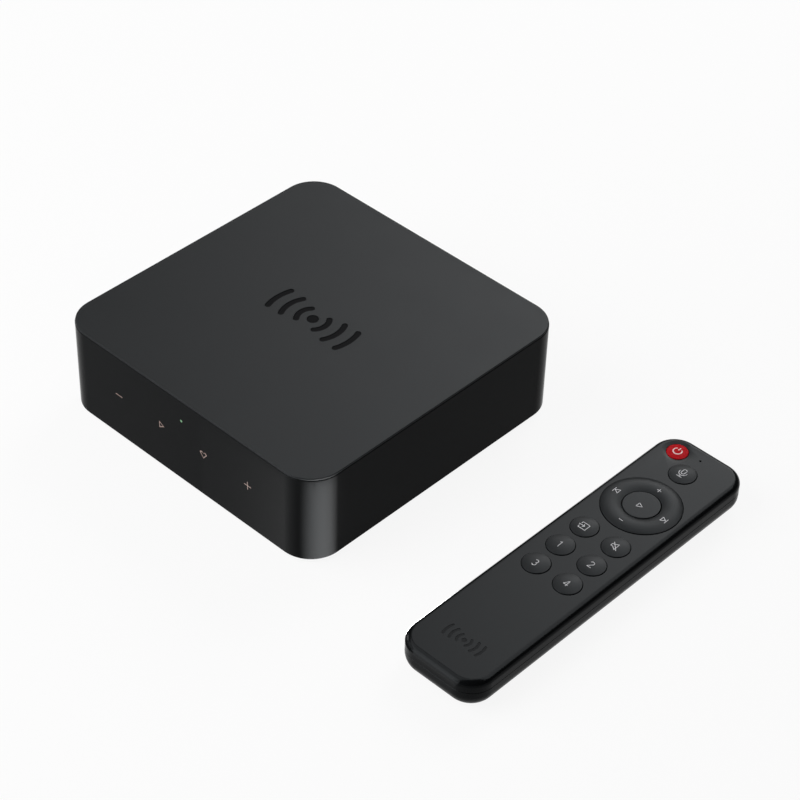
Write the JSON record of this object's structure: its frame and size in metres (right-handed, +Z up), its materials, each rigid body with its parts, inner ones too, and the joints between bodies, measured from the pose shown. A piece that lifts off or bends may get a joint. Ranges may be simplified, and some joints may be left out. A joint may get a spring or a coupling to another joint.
{
  "type": "network music streamer with remote control",
  "caption": "Square black desktop network music streamer with touch signs on the front, audio sockets at the rear, and a slim key remote lying beside it.",
  "frame": {"origin": "middle of the streamer's rubber foot pad, on the surface that it stands on", "axes": "+X to the right of the streamer's front, +Y to its connectors, +Z up"},
  "size_m": [0.2317, 0.1582, 0.042],
  "materials": {
    "housing_black": "satin moulded black",
    "top_black": "fine matt black",
    "mark_black": "polished black",
    "base_black": "moulded matt black",
    "pad_rubber": "soft matt rubber",
    "screw_steel": "blackened steel",
    "panel_black": "matt black",
    "board_green": "solder-mask green",
    "chip_black": "moulded epoxy",
    "shield_tin": "tinned sheet",
    "pad_grey": "soft silicone",
    "can_aluminium": "drawn aluminium",
    "jack_black": "moulded black",
    "sleeve_nickel": "nickel plate",
    "insert_white": "white",
    "insert_red": "red",
    "insert_orange": "orange",
    "socket_black": "moulded black",
    "contact_gold": "gold flash",
    "inlet_steel": "drawn steel",
    "sign_copper": "copper-tinted print",
    "light_green": "clear pipe, lit green",
    "lamp_white": "lamp body",
    "ribbon_white": "flat ribbon",
    "aerial_black": "printed aerial",
    "lead_grey": "thin coaxial lead",
    "remote_black": "fine matt black",
    "key_black": "satin black",
    "key_red": "red",
    "membrane_grey": "silicone sheet",
    "dome_steel": "stamped steel",
    "capsule_metal": "drawn can",
    "cell_wrap": "printed wrap",
    "spring_nickel": "nickel-plated spring sheet"
  },
  "bodies": {
    "streamer": {"side_housing": "housing_black", "top_plate": "top_black", "top_mark": "mark_black", "base_plate": "base_black", "foot_pad": "pad_rubber", "base_screws": "screw_steel", "rear_panel": "panel_black", "jack_screws": "screw_steel", "main_board": "board_green", "board_screws": "screw_steel", "shield_can": "shield_tin", "processor_chip": "chip_black", "memory_chips": "chip_black", "thermal_pad": "pad_grey", "converter_chips": "chip_black", "smoothing_capacitors": "can_aluminium", "line_out_block": "jack_black", "line_in_block": "jack_black", "coax_block": "jack_black", "phono_sleeves": "sleeve_nickel", "left_channel_inserts": "insert_white", "right_channel_inserts": "insert_red", "coax_insert": "insert_orange", "optical_in_socket": "socket_black", "optical_out_socket": "socket_black", "trigger_jack": "socket_black", "ethernet_socket": "socket_black", "ethernet_contacts": "contact_gold", "power_socket": "inlet_steel", "touch_board": "board_green", "indicator_lamps": "lamp_white", "touch_signs": "sign_copper", "status_light": "light_green", "touch_ribbon": "ribbon_white", "aerial_strips": "aerial_black", "aerial_leads": "lead_grey"},
    "optical_in_shutter": {"optical_in_shutter": "socket_black"},
    "optical_out_shutter": {"optical_out_shutter": "socket_black"},
    "remote": {"remote_upper_case": "remote_black", "remote_lower_case": "remote_black", "remote_mark": "mark_black", "battery_cells": "cell_wrap", "battery_contacts": "spring_nickel", "remote_board": "board_green", "keypad_membrane": "membrane_grey", "dome_switches": "dome_steel", "microphone_capsule": "capsule_metal"},
    "battery_door": {"battery_door": "remote_black"},
    "ring_rocker": {"ring_rocker": "key_black"},
    "navigation_ring": {"navigation_ring": "key_black"},
    "power_key": {"power_key": "key_red"},
    "microphone_key": {"microphone_key": "key_black"},
    "play_key": {"play_key": "key_black"},
    "input_key": {"input_key": "key_black"},
    "mute_key": {"mute_key": "key_black"},
    "number_key_1": {"number_key_1": "key_black"},
    "number_key_2": {"number_key_2": "key_black"},
    "number_key_3": {"number_key_3": "key_black"},
    "number_key_4": {"number_key_4": "key_black"}
  },
  "joints": [
    {"name": "remote_lift", "type": "slide", "parent": "streamer", "child": "remote", "axis": [0, 0, 1], "range_m": [0, 0.1]},
    {"name": "battery_door_slide", "type": "slide", "parent": "remote", "child": "battery_door", "axis": [0, -1, 0], "range_m": [0, 0.055]},
    {"name": "ring_tilt_far_near", "type": "hinge", "parent": "remote", "child": "ring_rocker", "pos_m": [0.1423, 0.03388, 0.00985], "axis": [1, 0, 0], "range_deg": [-1.4, 1.4], "stiffness_Nm_per_rad": 1},
    {"name": "ring_tilt_left_right", "type": "hinge", "parent": "ring_rocker", "child": "navigation_ring", "pos_m": [0.1423, 0.03388, 0.0112], "axis": [0, 1, 0], "range_deg": [-1.4, 1.4], "stiffness_Nm_per_rad": 1},
    {"name": "optical_in_shutter_swing", "type": "hinge", "parent": "streamer", "child": "optical_in_shutter", "pos_m": [-0.01116, 0.0652, 0.0192], "axis": [-1, 0, 0], "range_deg": [0, 90], "stiffness_Nm_per_rad": 0.0002, "springref_deg": -17.19},
    {"name": "optical_out_shutter_swing", "type": "hinge", "parent": "streamer", "child": "optical_out_shutter", "pos_m": [-0.01116, 0.0652, 0.0312], "axis": [-1, 0, 0], "range_deg": [0, 90], "stiffness_Nm_per_rad": 0.0002, "springref_deg": -17.19},
    {"name": "power_key_press", "type": "slide", "parent": "remote", "child": "power_key", "axis": [0, 0, -1], "range_m": [0, 0.0005], "stiffness_N_per_m": 1500},
    {"name": "microphone_key_press", "type": "slide", "parent": "remote", "child": "microphone_key", "axis": [0, 0, -1], "range_m": [0, 0.0005], "stiffness_N_per_m": 1500},
    {"name": "play_key_press", "type": "slide", "parent": "remote", "child": "play_key", "axis": [0, 0, -1], "range_m": [0, 0.0005], "stiffness_N_per_m": 1500},
    {"name": "input_key_press", "type": "slide", "parent": "remote", "child": "input_key", "axis": [0, 0, -1], "range_m": [0, 0.0005], "stiffness_N_per_m": 1500},
    {"name": "mute_key_press", "type": "slide", "parent": "remote", "child": "mute_key", "axis": [0, 0, -1], "range_m": [0, 0.0005], "stiffness_N_per_m": 1500},
    {"name": "number_key_1_press", "type": "slide", "parent": "remote", "child": "number_key_1", "axis": [0, 0, -1], "range_m": [0, 0.0005], "stiffness_N_per_m": 1500},
    {"name": "number_key_2_press", "type": "slide", "parent": "remote", "child": "number_key_2", "axis": [0, 0, -1], "range_m": [0, 0.0005], "stiffness_N_per_m": 1500},
    {"name": "number_key_3_press", "type": "slide", "parent": "remote", "child": "number_key_3", "axis": [0, 0, -1], "range_m": [0, 0.0005], "stiffness_N_per_m": 1500},
    {"name": "number_key_4_press", "type": "slide", "parent": "remote", "child": "number_key_4", "axis": [0, 0, -1], "range_m": [0, 0.0005], "stiffness_N_per_m": 1500}
  ]
}
